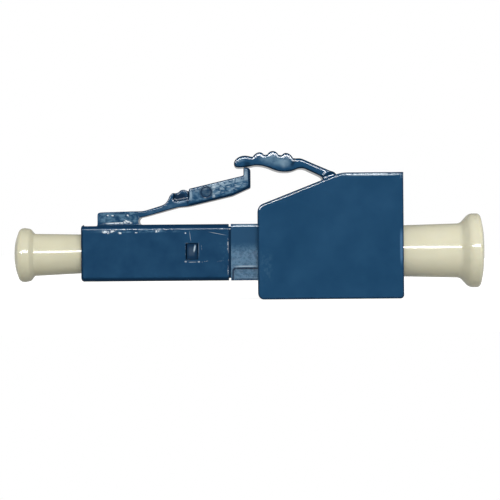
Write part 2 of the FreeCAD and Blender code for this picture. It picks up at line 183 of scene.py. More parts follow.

# Injection-moulded polycarbonate, dyed blue: an even deep blue with faint clouds where the melt flowed,
# a satin skin, and paler rubbed spots on the edges that fingers and adapters touch.
# Painted highlights and sheen lie along edges and on some faces, a painted reflection lies on one edge, and painted
# shade lies on the roundings, beside steps and in hollows.
blueLook = {
    "blue": "#194162",
    "cloudBlue": "#265073",
    "cloudSize": 2.2,
    "cloudLevels": (0.15, 0.85),
    "wornAndHighlight": "#c9d8e2",
    "shade": "#0f2c47",
    "grainSize": 0.13,              # the mould's own grit is nearer 0.03 mm, too fine to show
    "grainDepth": 0.004,
    "grainStrength": 0.12,
    "roughness": 0.07,
    "roughnessSpread": 0.01,
    "dullness": 0.08,               # added where the skin is hazed
    "specular": 0.45,
    "edgeReach": 0.1,
    "edgeLevels": (0.995, 0.93),    # agreement of the true and the rounded normal, on a face and on an edge
    "edgeFlecks": (0.35, 0.52, 0.66),
    "edgeWearAndHighlight": 0.35,
    "paintedEdgeShade": 0.55,              # painted shade on the roundings, which look deeper than the faces
    "sideLevels": (0.985, 0.9),     # sideways share of the normal, on a broad side and on its rounding
    "topLevels": (0.0, 0.25),       # and on a top face and on its rounding
    "wearAndHighlights": [],
    "hazesAndSheen": [],
    "paintedShades": [],
    "mark": None,
}


def bluePlastic(name, look):
    material, tree, shader, place = newMaterial(name)
    clouds = addNode(tree, "ShaderNodeTexNoise", {
        "Vector": place, "Scale": 1 / (look["cloudSize"] * mm), "Detail": 3.0,
    })
    layers = [(addNode(tree, "ShaderNodeMapRange", levels(clouds, look["cloudLevels"])), look["cloudBlue"])]
    # dull haze where the skin is rough or rubbed, which scatters the lamp's light; its paler colour is partly painted
    # sheen and highlights
    dull = 0.0
    for hazeAndSheen in look["hazesAndSheen"]:
        share = fleckedPatch(tree, place, hazeAndSheen)
        dull = addNode(tree, "ShaderNodeMath", {0: dull, 1: share}, operation="MAXIMUM")
        layers.append((share, hazeAndSheen["colour"]))
    # painted shade: darker beside steps, in hollows and in the round mark
    layers += [(patchMask(tree, place, shadePatch), look["shade"]) for shadePatch in look["paintedShades"]]
    if look["mark"]:
        mark = look["mark"]
        middle = (mark["x"] * mm, 0, mark["z"] * mm)
        flat = addNode(tree, "ShaderNodeVectorMath", {0: place, 1: (1, 0, 1)}, operation="MULTIPLY")
        apart = addNode(tree, "ShaderNodeVectorMath", {0: flat, 1: middle}, operation="DISTANCE").outputs["Value"]
        offRing = addNode(tree, "ShaderNodeMath", {0: apart, 1: mark["radius"] * mm}, operation="SUBTRACT")
        offRing = addNode(tree, "ShaderNodeMath", {0: offRing}, operation="ABSOLUTE")
        # painted shade in the groove of the round mark, where the skin keeps its gloss
        paintedGrooveShade = addNode(tree, "ShaderNodeMapRange", levels(offRing, (mark["width"] * mm, 0.0)),
                       interpolation_type="SMOOTHSTEP")
        layers.append((paintedGrooveShade, look["shade"]))
        offMark = addNode(tree, "ShaderNodeMath", {0: 1.0, 1: paintedGrooveShade}, operation="SUBTRACT")
        dull = addNode(tree, "ShaderNodeMath", {0: dull, 1: offMark}, operation="MULTIPLY")
    # painted shade on the roundings beside the two broad sides
    facing = addNode(tree, "ShaderNodeNewGeometry").outputs["Normal"]
    sideways = addNode(tree, "ShaderNodeSeparateXYZ", {0: facing}).outputs["Y"]
    sideways = addNode(tree, "ShaderNodeMath", {0: sideways}, operation="ABSOLUTE")
    offSide = addNode(tree, "ShaderNodeMapRange", {
        **levels(sideways, look["sideLevels"]), "To Max": look["paintedEdgeShade"],
    }, interpolation_type="SMOOTHSTEP")
    offTop = addNode(tree, "ShaderNodeMapRange", levels(sideways, look["topLevels"]),
                     interpolation_type="SMOOTHSTEP")
    layers.append((addNode(tree, "ShaderNodeMath", {0: offSide, 1: offTop}, operation="MULTIPLY"), look["shade"]))
    # rubbed edges with a painted highlight along them, found by comparing the true normal with a rounded one
    rounded = addNode(tree, "ShaderNodeBevel", {"Radius": look["edgeReach"] * mm}, samples=6)
    agree = addNode(tree, "ShaderNodeVectorMath", {0: facing, 1: rounded}, operation="DOT_PRODUCT").outputs["Value"]
    edge = addNode(tree, "ShaderNodeMapRange", levels(agree, look["edgeLevels"]))
    flecks = speckle(tree, place, *look["edgeFlecks"])
    wearAndHighlightShare = addNode(tree, "ShaderNodeMath", {0: edge, 1: flecks}, operation="MULTIPLY")
    wearAndHighlightShare = addNode(tree, "ShaderNodeMath", {0: wearAndHighlightShare, 1: look["edgeWearAndHighlight"]}, operation="MULTIPLY")
    # rubbed and scratched places, and painted highlight lines
    for patch in look["wearAndHighlights"]:
        wearAndHighlightShare = addNode(tree, "ShaderNodeMath", {0: wearAndHighlightShare, 1: fleckedPatch(tree, place, patch)}, operation="MAXIMUM")
    layers.append((wearAndHighlightShare, look["wornAndHighlight"]))
    dulled = addNode(tree, "ShaderNodeMath", {0: dull, 1: look["dullness"]}, operation="MULTIPLY")
    grit = addNode(tree, "ShaderNodeTexNoise", {
        "Vector": place, "Scale": 1 / (look["grainSize"] * mm), "Detail": 2.0,
    })
    setInputs(tree, shader, {
        "Base Color": laidOver(tree, hexToLinear(look["blue"]), layers),
        "Roughness": addNode(tree, "ShaderNodeMath", {0: unevenGloss(tree, clouds, look), 1: dulled}, operation="ADD"),
        "Specular IOR Level": look["specular"],
        "Normal": addNode(tree, "ShaderNodeBump", {
            "Strength": look["grainStrength"], "Distance": look["grainDepth"] * mm, "Height": grit,
            "Normal": rounded,
        }),
    })
    return material


plugLook = {
    **blueLook,
    "blue": "#173a5a", "cloudBlue": "#264d6e", "cloudSize": 1.3, "wornAndHighlight": "#e2ecf2",
    "roughness": 0.085, "dullness": 0.1, "specular": 0.09, "paintedEdgeShade": 0.8,
    "wearAndHighlights": (
        # rubbed flecks and a painted highlight along the upper edge and just under it
        wearAndHighlights(0.4, 0.16, 0.5, 0.6, [(3.4, 1.88, 2.2, 0.08, 0), (6.6, 1.86, 1.2, 0.07, 0), (11.2, 1.88, 0.7, 0.06, 0)])
        + wearAndHighlights(1.0, 0.13, 0.4, 0.48, [
            (2.0, 1.68, 0.36, 0.15, 8), (2.57, 1.76, 0.28, 0.12, -20), (3.12, 1.6, 0.18, 0.1, 10),
            (4.42, 1.62, 0.12, 0.06, 0), (6.1, 1.74, 0.22, 0.12, -20), (8.35, 1.55, 0.07, 0.06, 0),
        ])
        # scuffs on the latch block
        + wearAndHighlights(1.0, 0.15, 0.38, 0.48, [
            (2.85, 2.4, 1.3, 0.08, -2), (3.75, 2.5, 0.42, 0.1, 24), (3.35, 2.46, 0.3, 0.06, -20),
            (2.5, 3.0, 0.13, 0.06, 0), (2.12, 3.02, 0.11, 0.05, 0), (3.72, 3.0, 0.12, 0.09, 60),
        ])
        # burrs at the rear edge, a long scratch, dents under the window, and painted highlights on the window's lower
        # and rear rims
        + wearAndHighlights(0.6, 0.14, 0.45, 0.6, [(11.72, 0.6, 0.07, 0.6, 0), (11.72, -1.3, 0.05, 0.6, 0)])
        + wearAndHighlights(0.3, 0.14, 0.45, 0.6, [(9.9, -0.72, 0.35, 0.04, -10), (11.1, -0.7, 0.3, 0.05, -14)])
        + wearAndHighlights(0.32, 0.4, 0.1, 0.4, [(10.9, 1.5, 0.85, 0.035, 11), (8.72, 1.3, 0.03, 0.5, -8)])
        + wearAndHighlights(0.45, 0.3, 0.2, 0.5, [
            (8.35, -0.72, 0.12, 0.07, 0), (9.4, -0.74, 0.12, 0.07, 0), (8.9, -0.76, 0.4, 0.04, 0),
        ])
        + wearAndHighlights(0.16, 0.3, 0.2, 0.5, [(9.4, 0.25, 0.035, 0.75, 0), (9.62, 0.4, 0.04, 0.25, -6)])
    ),
    # paler haze and painted sheen under the upper edge, on the latch block and before the rear edge
    "hazesAndSheen": table(hazeAndSheenNames, [
        (4.6, 1.76, 4.2, 0.2, 0, 0.3, 0.8, 0.35, 0.42, 0.62, 0.5, "#5b83a0"),
        (3.05, 2.82, 1.85, 0.5, 0, 0.8, 0.95, 0.24, 0.36, 0.64, 0.6, "#587d96"),
        (11.35, -0.1, 0.5, 2.0, 0, 0.2, 0.6, 0.25, 0.45, 0.75, 1, "#2f5876"),
    ]),
}
rearLook = {
    **blueLook,
    # rubbed flecks and a painted highlight along the upper edge, and flecks at its rear end
    "wearAndHighlights": (
        wearAndHighlights(0.75, 0.3, 0.3, 0.55, [(23.0, 6.1, 2.7, 0.13, 0)])
        + wearAndHighlights(0.35, 0.12, 0.52, 0.64, [(25.5, 5.95, 0.2, 0.3, 0)])
    ),
    # paler haze on the front face's rounding, a painted reflection of the rear plug on the rear edge, and a painted
    # highlight along the upper edge
    "hazesAndSheen": table(hazeAndSheenNames, [
        (14.75, -1.2, 0.7, 1.8, 0, 0.1, 0.5, 0.28, 0.4, 0.7, 1, "#3d6684"),
        (25.5, 0.35, 0.15, 1.65, 0, 0.5, 0.9, 0.5, 0.1, 0.35, 1, "#436d93"),
        (22.9, 6.12, 3.0, 0.2, 0, 0.5, 0.7, 0.3, 0.3, 0.6, 1, "#5f8199"),
    ]),
}
triggerLook = {
    **blueLook,
    "shade": "#0b2236", "dullness": 0.06, "specular": 0.27, "edgeReach": 0.16, "edgeWearAndHighlight": 0.15, "paintedEdgeShade": 0.8,
    # painted sheen and reflection on the ribbed grip and the nose, with painted shade at both ends of the grip
    "hazesAndSheen": table(hazeAndSheenNames, [
        (15.72, 7.3, 1.5, 0.62, 8, 0.1, 1.0, 0.6, 0.2, 0.6, 1, "#62849b"),
        (14.75, 7.42, 0.7, 0.3, -6, 0.1, 0.8, 0.35, 0.3, 0.6, 1, "#62849b"),
        (16.3, 7.12, 0.5, 0.5, -25, 0.2, 0.9, 0.5, 0.2, 0.6, 1, "#7893a7"),
        (12.8, 7.37, 0.42, 0.24, -20, 0.1, 0.8, 0.3, 0.1, 0.5, 1, "#5d7e97"),
    ]),
    "paintedShades": table(patchNames, [(16.98, 7.12, 0.2, 0.5, 25, 0.2, 0.7), (13.3, 7.05, 0.4, 0.3, 0, 0.1, 0.7)]),
}
# the latch is rubbed all over, so its skin is dull beside the rest
latchLook = {
    **blueLook,
    "roughness": 0.13, "dullness": 0.05, "specular": 0.16, "edgeReach": 0.14, "edgeWearAndHighlight": 0.12, "paintedEdgeShade": 0.85,
    "hazesAndSheen": table(hazeAndSheenNames, [
        # painted sheen and highlights on the lever's side and top edge, its hook, beside the round mark, and the ledge
        # under the lug
        (11.1, 5.06, 2.62, 0.6, -13.2, 0.85, 1.0, 0.22, 0.4, 0.62, 0.6, "#4f7490"),
        (11.1, 5.42, 2.6, 0.2, -13.2, 0.5, 0.9, 0.25, 0.35, 0.58, 1, "#93adbf"),
        (13.2, 6.15, 0.2, 0.6, 0, 0.2, 0.9, 0.3, 0.2, 0.5, 1, "#8ea7b8"),
        (10.62, 5.22, 0.2, 0.16, 0, 0.2, 0.9, 0.2, 0.3, 0.5, 1, "#b4c5d1"),
        (10.62, 4.5, 0.16, 0.2, 0, 0.2, 0.9, 0.2, 0.3, 0.5, 1, "#a9bdcb"),
        (8.0, 4.05, 0.5, 0.16, -12, 0.4, 0.6, 0.25, 0.2, 0.5, 1, "#7593ab"),
        # painted sheen in streaks on the lever and on the strip, and a painted highlight on the lever's front end
        (11.6, 5.12, 2.0, 0.36, -13.2, 0.4, 0.8, 0.16, 0.5, 0.6, 0.45, "#9db4c4"),
        (8.78, 4.6, 0.16, 0.6, 0, 0.2, 0.9, 0.25, 0.2, 0.5, 1, "#8ba5b8"),
        (6.4, 3.52, 1.6, 0.22, -15, 0.5, 0.6, 0.3, 0.3, 0.6, 1, "#3f6482"),
    ]),
    # painted shade before the lever, under the lug, in the round mark, before the hook and along the lower edge
    "paintedShades": table(patchNames, [
        (8.53, 4.4, 0.09, 0.8, 0, 0.6, 0.8),
        (7.88, 4.47, 0.62, 0.32, -12, 0.55, 1.0),
        (10.01, 4.82, 0.38, 0.38, 0, 0.5, 0.6),
        (13.5, 5.9, 0.14, 1.0, 0, 0.5, 0.8),
        (10.6, 4.1, 2.4, 0.2, -13.2, 0.3, 0.8),
    ]),
    "mark": {"x": 10.01, "z": 4.82, "radius": 0.41, "width": 0.2},
}
plugBlue = bluePlastic("polycarbonate moulded blue plug", plugLook)
rearBlue = bluePlastic("polycarbonate moulded blue housing", rearLook)
triggerBlue = bluePlastic("polycarbonate moulded blue trigger", triggerLook)
latchBlue = bluePlastic("polycarbonate moulded blue latch", latchLook)

# Spark-eroded polycarbonate: the same blue, smooth and darker at the top, sandy, matt and paler toward the bottom.
insertLook = {
    "upper": "#2a4f6f",
    "lower": "#4b7390",
    "fadeFrom": 0.9,
    "fadeTo": -0.2,
    "sandSize": 0.24,       # real grit about 0.05 mm, drawn coarser so that it shows
    "sandDepth": 0.03,
    "sandStrength": 0.5,
    "glitterLevels": (0.42, 0.58),
    "leastGlitter": 0.3,
    "mostGlitter": 1.3,
    "smooth": 0.09,         # roughness above the fade, and of the tabs
    "sandy": 0.2,           # roughness below it
    "specular": 0.28,
    "tabAndSeamShade": "#143350",       # the snap tabs ahead of the neck, smooth and dark, and painted shade in the seam
    "tabEnd": 11.97,
    # the step round the neck's low panel: painted shade in it and a painted highlight on the edge above it; a painted
    # highlight along the top edge and painted shade along the bottom edge
    "panelLines": table(patchNames + " colour", [
        (13.25, -1.29, 1.1, 0.1, 0, 0.7, 1.0, "#143350"),
        (12.12, -1.86, 0.09, 0.52, 0, 0.7, 1.0, "#143350"),
        (12.2, -1.36, 0.2, 0.1, -45, 0.6, 1.0, "#143350"),
        (13.15, -1.12, 1.1, 0.08, 0, 0.3, 0.7, "#a3bac9"),
        (13.1, 2.12, 1.15, 0.1, 0, 0.4, 0.7, "#a3bac9"),
        (13.1, -2.2, 1.2, 0.14, 0, 0.5, 0.8, "#143350"),
    ]),
    # the tab's face in the window: paler in its middle, with a painted highlight down its rear edge
    "tabPatches": table(patchNames + " colour", [
        (8.82, 0.1, 0.36, 0.5, 0, 0.3, 0.07, "#b3c8d6"),
        (9.06, 0.32, 0.09, 0.36, 10, 0.3, 1.0, "#b3c8d6"),
    ]),
}


def sandyPlastic(name, look):
    material, tree, shader, place = newMaterial(name)
    apart = addNode(tree, "ShaderNodeSeparateXYZ", {0: place}).outputs
    onNeck = addNode(tree, "ShaderNodeMath", {0: apart["X"], 1: look["tabEnd"] * mm}, operation="GREATER_THAN")
    fade = addNode(tree, "ShaderNodeMapRange", levels(apart["Z"], (look["fadeFrom"] * mm, look["fadeTo"] * mm)),
                   interpolation_type="SMOOTHSTEP")
    sand = addNode(tree, "ShaderNodeTexNoise", {
        "Vector": place, "Scale": 1 / (look["sandSize"] * mm), "Detail": 4.0, "Roughness": 0.7,
    })
    glitter = addNode(tree, "ShaderNodeMapRange", {
        **levels(sand, look["glitterLevels"]), "To Min": look["leastGlitter"], "To Max": look["mostGlitter"],
    })
    pale = addNode(tree, "ShaderNodeMath", {0: fade, 1: glitter}, operation="MULTIPLY")
    tabAndSeamShade = laidOver(tree, hexToLinear(look["tabAndSeamShade"]), [
        (patchMask(tree, place, patch), patch["colour"]) for patch in look["tabPatches"]
    ])
    neck = laidOver(tree, hexToLinear(look["upper"]), [(pale, look["lower"])] + [
        (patchMask(tree, place, line), line["colour"]) for line in look["panelLines"]
    ])
    sandy = addNode(tree, "ShaderNodeMath", {0: onNeck, 1: fade}, operation="MULTIPLY")
    relief = addNode(tree, "ShaderNodeMath", {0: fade, 1: look["sandStrength"]}, operation="MULTIPLY")
    setInputs(tree, shader, {
        "Base Color": addNode(tree, "ShaderNodeMix", {0: onNeck, 6: tabAndSeamShade, 7: neck}, data_type="RGBA").outputs[2],
        "Roughness": addNode(tree, "ShaderNodeMapRange", {
            "Value": sandy, "To Min": look["smooth"], "To Max": look["sandy"],
        }),
        "Specular IOR Level": look["specular"],
        "Normal": addNode(tree, "ShaderNodeBump", {
            "Strength": relief, "Distance": look["sandDepth"] * mm, "Height": sand,
        }),
    })
    return material


insertBlue = sandyPlastic("polycarbonate spark eroded blue", insertLook)

# Soft polyethylene, moulded in ivory: a waxy skin with a clear highlight, faint flow clouds and fine scuffs.
ivoryLook = {
    "ivory": "#dcd8bf",
    "cloud": "#d2ceb2",
    "cloudSize": 1.6,
    "scuffSize": 0.7,
    "scuffDepth": 0.004,
    "scuffStrength": 0.3,
    "roughness": 0.1,
    "roughnessSpread": 0.01,
    "ior": 1.51,
    "specular": 0.3,
    "waxiness": 0.15,               # share of the light that goes in and comes out again nearby
    "waxDepth": 0.3,
    "waxColour": (1.0, 0.8, 0.5),   # red goes deepest
}


def waxyPlastic(name, look):
    material, tree, shader, place = newMaterial(name)
    clouds = addNode(tree, "ShaderNodeTexNoise", {
        "Vector": place, "Scale": 1 / (look["cloudSize"] * mm), "Detail": 2.0,
    })
    scuffs = addNode(tree, "ShaderNodeTexNoise", {
        "Vector": place, "Scale": 1 / (look["scuffSize"] * mm), "Detail": 3.0,
    })
    setInputs(tree, shader, {
        "Base Color": laidOver(tree, hexToLinear(look["ivory"]), [(clouds, look["cloud"])]),
        "Roughness": unevenGloss(tree, clouds, look),
        "IOR": look["ior"],
        "Specular IOR Level": look["specular"],
        "Subsurface Weight": look["waxiness"],
        "Subsurface Radius": look["waxColour"],
        "Subsurface Scale": look["waxDepth"] * mm,
        "Normal": addNode(tree, "ShaderNodeBump", {
            "Strength": look["scuffStrength"], "Distance": look["scuffDepth"] * mm, "Height": scuffs,
        }),
    })
    return material


frontIvory = waxyPlastic("polyethylene moulded ivory", {**ivoryLook, "roughness": 0.13, "scuffDepth": 0.02})
# the rear plug came out of another mould, a shade lighter
rearIvory = waxyPlastic("polyethylene moulded pale ivory", {**ivoryLook, "ivory": "#e5e1c9", "cloud": "#dcd8bd"})

# The hidden light path. Each finish has a base colour varied by a fine noise, its own gloss and a shallow bump.
hiddenLooks = {
    # dense white ceramic, ground and polished: a glassy skin
    "zirconia": {
        "name": "zirconia polished", "colour": "#f3f0e8", "shade": "#ebe7db",
        "grainSize": 0.4, "stretch": (1, 1, 1), "depth": 0.002, "gloss": {"Roughness": 0.1, "IOR": 2.1},
    },
    # turned brass with a nickel plate: warm grey metal with lathe rings
    "nickelBrass": {
        "name": "brass turned nickel plated", "colour": "#c9c3b5", "shade": "#b6b0a2",
        "grainSize": 0.05, "stretch": (1, 0.02, 0.02), "depth": 0.002, "gloss": {"Roughness": 0.24, "Metallic": 1.0},
    },
    # drawn wire: grey steel with lengthwise streaks
    "springSteel": {
        "name": "spring steel drawn", "colour": "#a7a7a9", "shade": "#8d8e92",
        "grainSize": 0.08, "stretch": (1, 0.1, 0.1), "depth": 0.002, "gloss": {"Roughness": 0.3, "Metallic": 1.0},
    },
    # drawn silica: clear glass, polished at its ends
    "silica": {
        "name": "silica fibre polished", "colour": "#f4fbff", "shade": "#eaf6ff",
        "grainSize": 0.05, "stretch": (1, 1, 1), "depth": 0.002,
        "gloss": {"Roughness": 0.03, "Transmission Weight": 0.6, "IOR": 1.458},
    },
    # moulded liquid crystal polymer: black satin with flow lines along the light path
    "holderBlack": {
        "name": "liquid crystal polymer moulded black", "colour": "#2a2c2f", "shade": "#1f2124",
        "grainSize": 0.3, "stretch": (0.2, 1, 1), "depth": 0.006, "gloss": {"Roughness": 0.45},
    },
}


def plainFinish(look):
    material, tree, shader, place = newMaterial(look["name"])
    squeezed = addNode(tree, "ShaderNodeMapping", {"Vector": place, "Scale": look["stretch"]})
    grain = addNode(tree, "ShaderNodeTexNoise", {
        "Vector": squeezed, "Scale": 1 / (look["grainSize"] * mm), "Detail": 3.0,
    })
    setInputs(tree, shader, {
        "Base Color": laidOver(tree, hexToLinear(look["colour"]), [(grain, look["shade"])]),
        "Normal": addNode(tree, "ShaderNodeBump", {
            "Strength": 0.3, "Distance": look["depth"] * mm, "Height": grain,
        }),
        **look["gloss"],
    })
    return material


hidden = {key: plainFinish(look) for key, look in hiddenLooks.items()}

finishes = {
    "plug_housing": plugBlue, "latch_arm": latchBlue, "inner_body": insertBlue, "rear_housing": rearBlue,
    "trigger_arm": triggerBlue, "front_dust_cap": frontIvory, "rear_dust_plug": rearIvory,
    "ferrule": hidden["zirconia"], "split_sleeve": hidden["zirconia"], "doped_fibre": hidden["silica"],
    "ferrule_collar": hidden["nickelBrass"], "coil_spring": hidden["springSteel"],
    "sleeve_holder": hidden["holderBlack"],
}
for nodeName, material in finishes.items():
    nodes[nodeName].data.materials.clear()
    nodes[nodeName].data.materials.append(material)
print("materials:", len(set(finishes.values())))


def roundedOutline(corners, step=0.03):
    # closed outline in X and Z with an arc at each corner that has a radius
    count = len(corners)
    tips = [Vector((x, z)) for x, z, radius in corners]
    wanted, halves = [], []
    for i in range(count):
        back, ahead = tips[i - 1] - tips[i], tips[(i + 1) % count] - tips[i]
        halves.append(back.angle(ahead) / 2)
        wanted.append(corners[i][2] / math.tan(halves[i]))
    mostShare = 0.98        # a little straight line is left between two arcs
    points = []
    for i in range(count):
        if wanted[i] <= 0:
            points.append(tips[i])
            continue
        back, ahead = tips[i - 1] - tips[i], tips[(i + 1) % count] - tips[i]
        shareBack = back.length * wanted[i] / (wanted[i] + wanted[i - 1])
        shareAhead = ahead.length * wanted[i] / (wanted[i] + wanted[(i + 1) % count])
        reach = min(wanted[i], mostShare * shareBack, mostShare * shareAhead)
        radius = reach * math.tan(halves[i])
        back.normalize()
        ahead.normalize()
        centre = tips[i] + (back + ahead).normalized() * (radius / math.sin(halves[i]))
        start, end = tips[i] + back * reach - centre, tips[i] + ahead * reach - centre
        sweep = start.angle_signed(end)
        steps = max(2, math.ceil(abs(sweep) * radius / step))
        points += [centre + Matrix.Rotation(-sweep * k / steps, 2) @ start for k in range(steps + 1)]
    return points


def smoothLine(points, perSpan=8, closed=True):
    # Catmull-Rom line through the points, as corners without a radius
    line = []
    count = len(points)
    for i in range(count if closed else count - 1):
        around = [i + k if closed else min(max(i + k, 0), count - 1) for k in (-1, 0, 1, 2)]
        p0, p1, p2, p3 = (Vector(points[k % count]) for k in around)
        for k in range(perSpan):
            t = k / perSpan
            line.append(0.5 * (2 * p1 + (p2 - p0) * t + (2 * p0 - 5 * p1 + 4 * p2 - p3) * t * t
                               + (3 * p1 - p0 - 3 * p2 + p3) * t * t * t))
    return [(p.x, p.y, 0) for p in (line if closed else line + [Vector(points[-1])])]


def plate(target, corners, width):
    # flat piece across the middle plane, added to a bmesh
    outline = roundedOutline(corners)
    near, far = [[target.verts.new((p.x, y, p.y)) for p in outline] for y in (-width / 2, width / 2)]
    target.faces.new(near)
    target.faces.new(far[::-1])
    for i in range(len(near)):
        k = (i + 1) % len(near)
        target.faces.new((near[i], far[i], far[k], near[k]))


def newObject(name, data):
    piece = bpy.data.objects.new(name, data)
    scene.collection.objects.link(piece)
    return piece


def applied(piece):
    # the evaluated piece as a plain mesh, its modifiers gone
    bpy.context.view_layer.update()
    evaluated = piece.evaluated_get(bpy.context.evaluated_depsgraph_get())
    mesh = bpy.data.meshes.new_from_object(evaluated)
    piece.modifiers.clear()
    piece.data = mesh
    return piece


def moulded(name, plates, sizes):
    # one closed skin round the overlapping plates, with its corners softened as a moulding's are
    bmesh.ops.recalc_face_normals(plates, faces=plates.faces)
    mesh = bpy.data.meshes.new(name)
    plates.to_mesh(mesh)
    plates.free()
    piece = newObject(name, mesh)
    remesh = piece.modifiers.new("skin", "REMESH")
    remesh.mode = "VOXEL"
    remesh.voxel_size = sizes["voxel"]
    smooth = piece.modifiers.new("soft corners", "SMOOTH")
    smooth.factor = 0.5
    smooth.iterations = sizes["smoothRounds"]
    return applied(piece)


def finishMesh(piece, material, weldDistance=0.0005, sharpAngle=38):
    # weld, turn the faces outwards, bring millimetres to metres
    work = bmesh.new()
    work.from_mesh(piece.data)
    bmesh.ops.remove_doubles(work, verts=work.verts, dist=weldDistance)
    bmesh.ops.recalc_face_normals(work, faces=work.faces)
    work.to_mesh(piece.data)
    work.free()
    piece.data.transform(Matrix.Scale(mm, 4))
    piece.data.materials.clear()
    piece.data.materials.append(material)
    piece.data.shade_smooth()
    piece.data.set_sharp_from_angle(angle=math.radians(sharpAngle))
    return piece


def newTree(name, sizes):
    # a Geometry Nodes tree with a named input for each size and for the material
    tree = bpy.data.node_groups.new(name, "GeometryNodeTree")
    kinds = {key: "Int" if isinstance(value, int) else "Float" for key, value in sizes.items()}
    for key, kind in {"Geometry": "Geometry", **kinds, "Material": "Material"}.items():
        tree.interface.new_socket(name=key, in_out="INPUT", socket_type="NodeSocket" + kind)
    tree.interface.new_socket(name="Geometry", in_out="OUTPUT", socket_type="NodeSocketGeometry")
    return tree, addNode(tree, "NodeGroupInput").outputs


def endTree(tree, given, geometry):
    solid = addNode(tree, "GeometryNodeRealizeInstances", {"Geometry": geometry})
    dressed = addNode(tree, "GeometryNodeSetMaterial", {"Geometry": solid, "Material": given["Material"]})
    addNode(tree, "NodeGroupOutput", {"Geometry": dressed})
    return tree


def runTree(piece, tree, values):
    # the tree as a modifier with its named inputs set, and its result as a plain mesh
    modifier = piece.modifiers.new(tree.name, "NODES")
    modifier.node_group = tree
    for item in tree.interface.items_tree:
        if item.item_type == "SOCKET" and item.in_out == "INPUT" and item.name in values:
            modifier[item.identifier] = values[item.name]
    return applied(piece)


# Latch: a thin strip that grows out of the block, the catch lug with its ledge, the lever and the upturned hook.
# The lines are seen from the side, in X and Z.
latchSizes = {
    "stripTop": [
        (4.25, 3.352), (4.75, 3.352), (5.05, 3.38), (5.5, 3.505), (6.0, 3.65), (6.4, 3.775), (6.64, 3.88),
        (6.82, 4.03), (6.96, 4.25), (7.06, 4.48), (7.18, 4.67), (7.34, 4.77), (7.5, 4.78),
    ],
    "lugBack": [(7.5, 4.78), (7.45, 4.6), (7.38, 4.42), (7.4, 4.24), (7.52, 4.1)],
    "ribTop": [
        (6.8, 3.95), (7.06, 4.4), (7.3, 4.68), (7.5, 4.78), (7.68, 4.8), (7.8, 4.87), (7.95, 5.0), (8.15, 5.05),
        (8.36, 5.02), (8.52, 4.92), (8.75, 4.9),
    ],
    "width": 3.4, "rootWidth": 3.02, "ribWidth": 2.2,
    "flareFromX": 5.9, "flareToX": 6.7, "flareSteps": 6,
    "pivotX": 4.85, "lowZ": 2.855, "stripLow": (5.1, 2.91), "stripLowRound": 0.3,
    "stripBottomX": 7.78, "stripBottomZ": 3.63, "stripBottomRound": 0.6, "ledgeRearZ": 4.3, "ribToe": (7.0, 3.45),
    "leverX": 8.62, "leverTop": 5.1, "leverDepth": 1.4, "leverSlope": 0.2343, "leverRound": 0.1,
    "tail": 1.45, "tailLift": 0.3, "tailRound": 1.0, "heelRound": 0.14, "lowRound": 0.16,
    "hookX": 13.0, "hookThickness": 0.57, "hookTop": 6.77, "hookTipRound": 0.06, "hookBackRound": 0.3,
    # an ejector pin's round mark in the near side: a groove just inside its radius, round a slightly sunk disc
    "markX": 10.01, "markRadius": 0.47, "markLift": 0.1, "markDepth": 0.008,
    "grooveInset": 0.06, "grooveWidth": 0.05, "discEdge": 0.02, "discShare": 0.3, "nearSide": 0.08,
    "rootSinkX": 4.62, "rootSink": 0.06, "rootFade": 0.3,
    "voxel": 0.035, "smoothRounds": 24,
}


